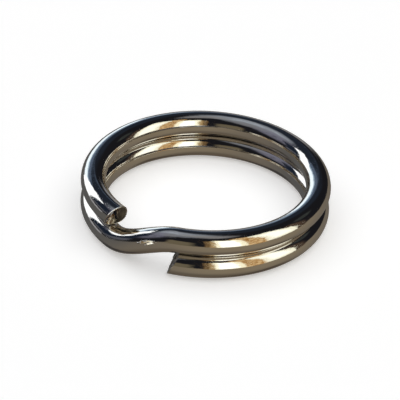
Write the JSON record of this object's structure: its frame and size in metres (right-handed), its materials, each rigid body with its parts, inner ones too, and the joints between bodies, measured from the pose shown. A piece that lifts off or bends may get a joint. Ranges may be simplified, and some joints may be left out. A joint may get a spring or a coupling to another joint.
{
  "type": "split key ring",
  "caption": "Split key ring of polished round spring wire, wound in flat coils with a crossover bend; its cut ends spring apart so that keys can be threaded on.",
  "frame": {"origin": "on the ring's axis, at the underside of the lower coil", "axes": "+Z along the ring's axis, from the lower coil to the upper; the middle of the crossover bend is at -Y; +X towards the side where the upper coil holds still"},
  "size_m": [0.025, 0.025, 0.005],
  "materials": {
    "polished_steel": "polished"
  },
  "bodies": {
    "lower_end": {"lower_free_end": "polished_steel"},
    "ring": {"upper_coil": "polished_steel", "crossover_bend": "polished_steel", "lower_coil": "polished_steel"},
    "upper_end": {"upper_free_end": "polished_steel"}
  },
  "joints": [
    {"name": "lower_end_opens", "type": "hinge", "parent": "lower_end", "child": "ring", "pos_m": [-0.00348, 0.0107, 0.00125], "axis": [-0.9511, -0.309, 0], "range_deg": [0, 6.4], "stiffness_Nm_per_rad": 18},
    {"name": "upper_end_opens", "type": "hinge", "parent": "ring", "child": "upper_end", "pos_m": [0.00348, 0.0107, 0.00379], "axis": [-0.9511, 0.309, 0], "range_deg": [0, 6.4], "stiffness_Nm_per_rad": 18}
  ]
}
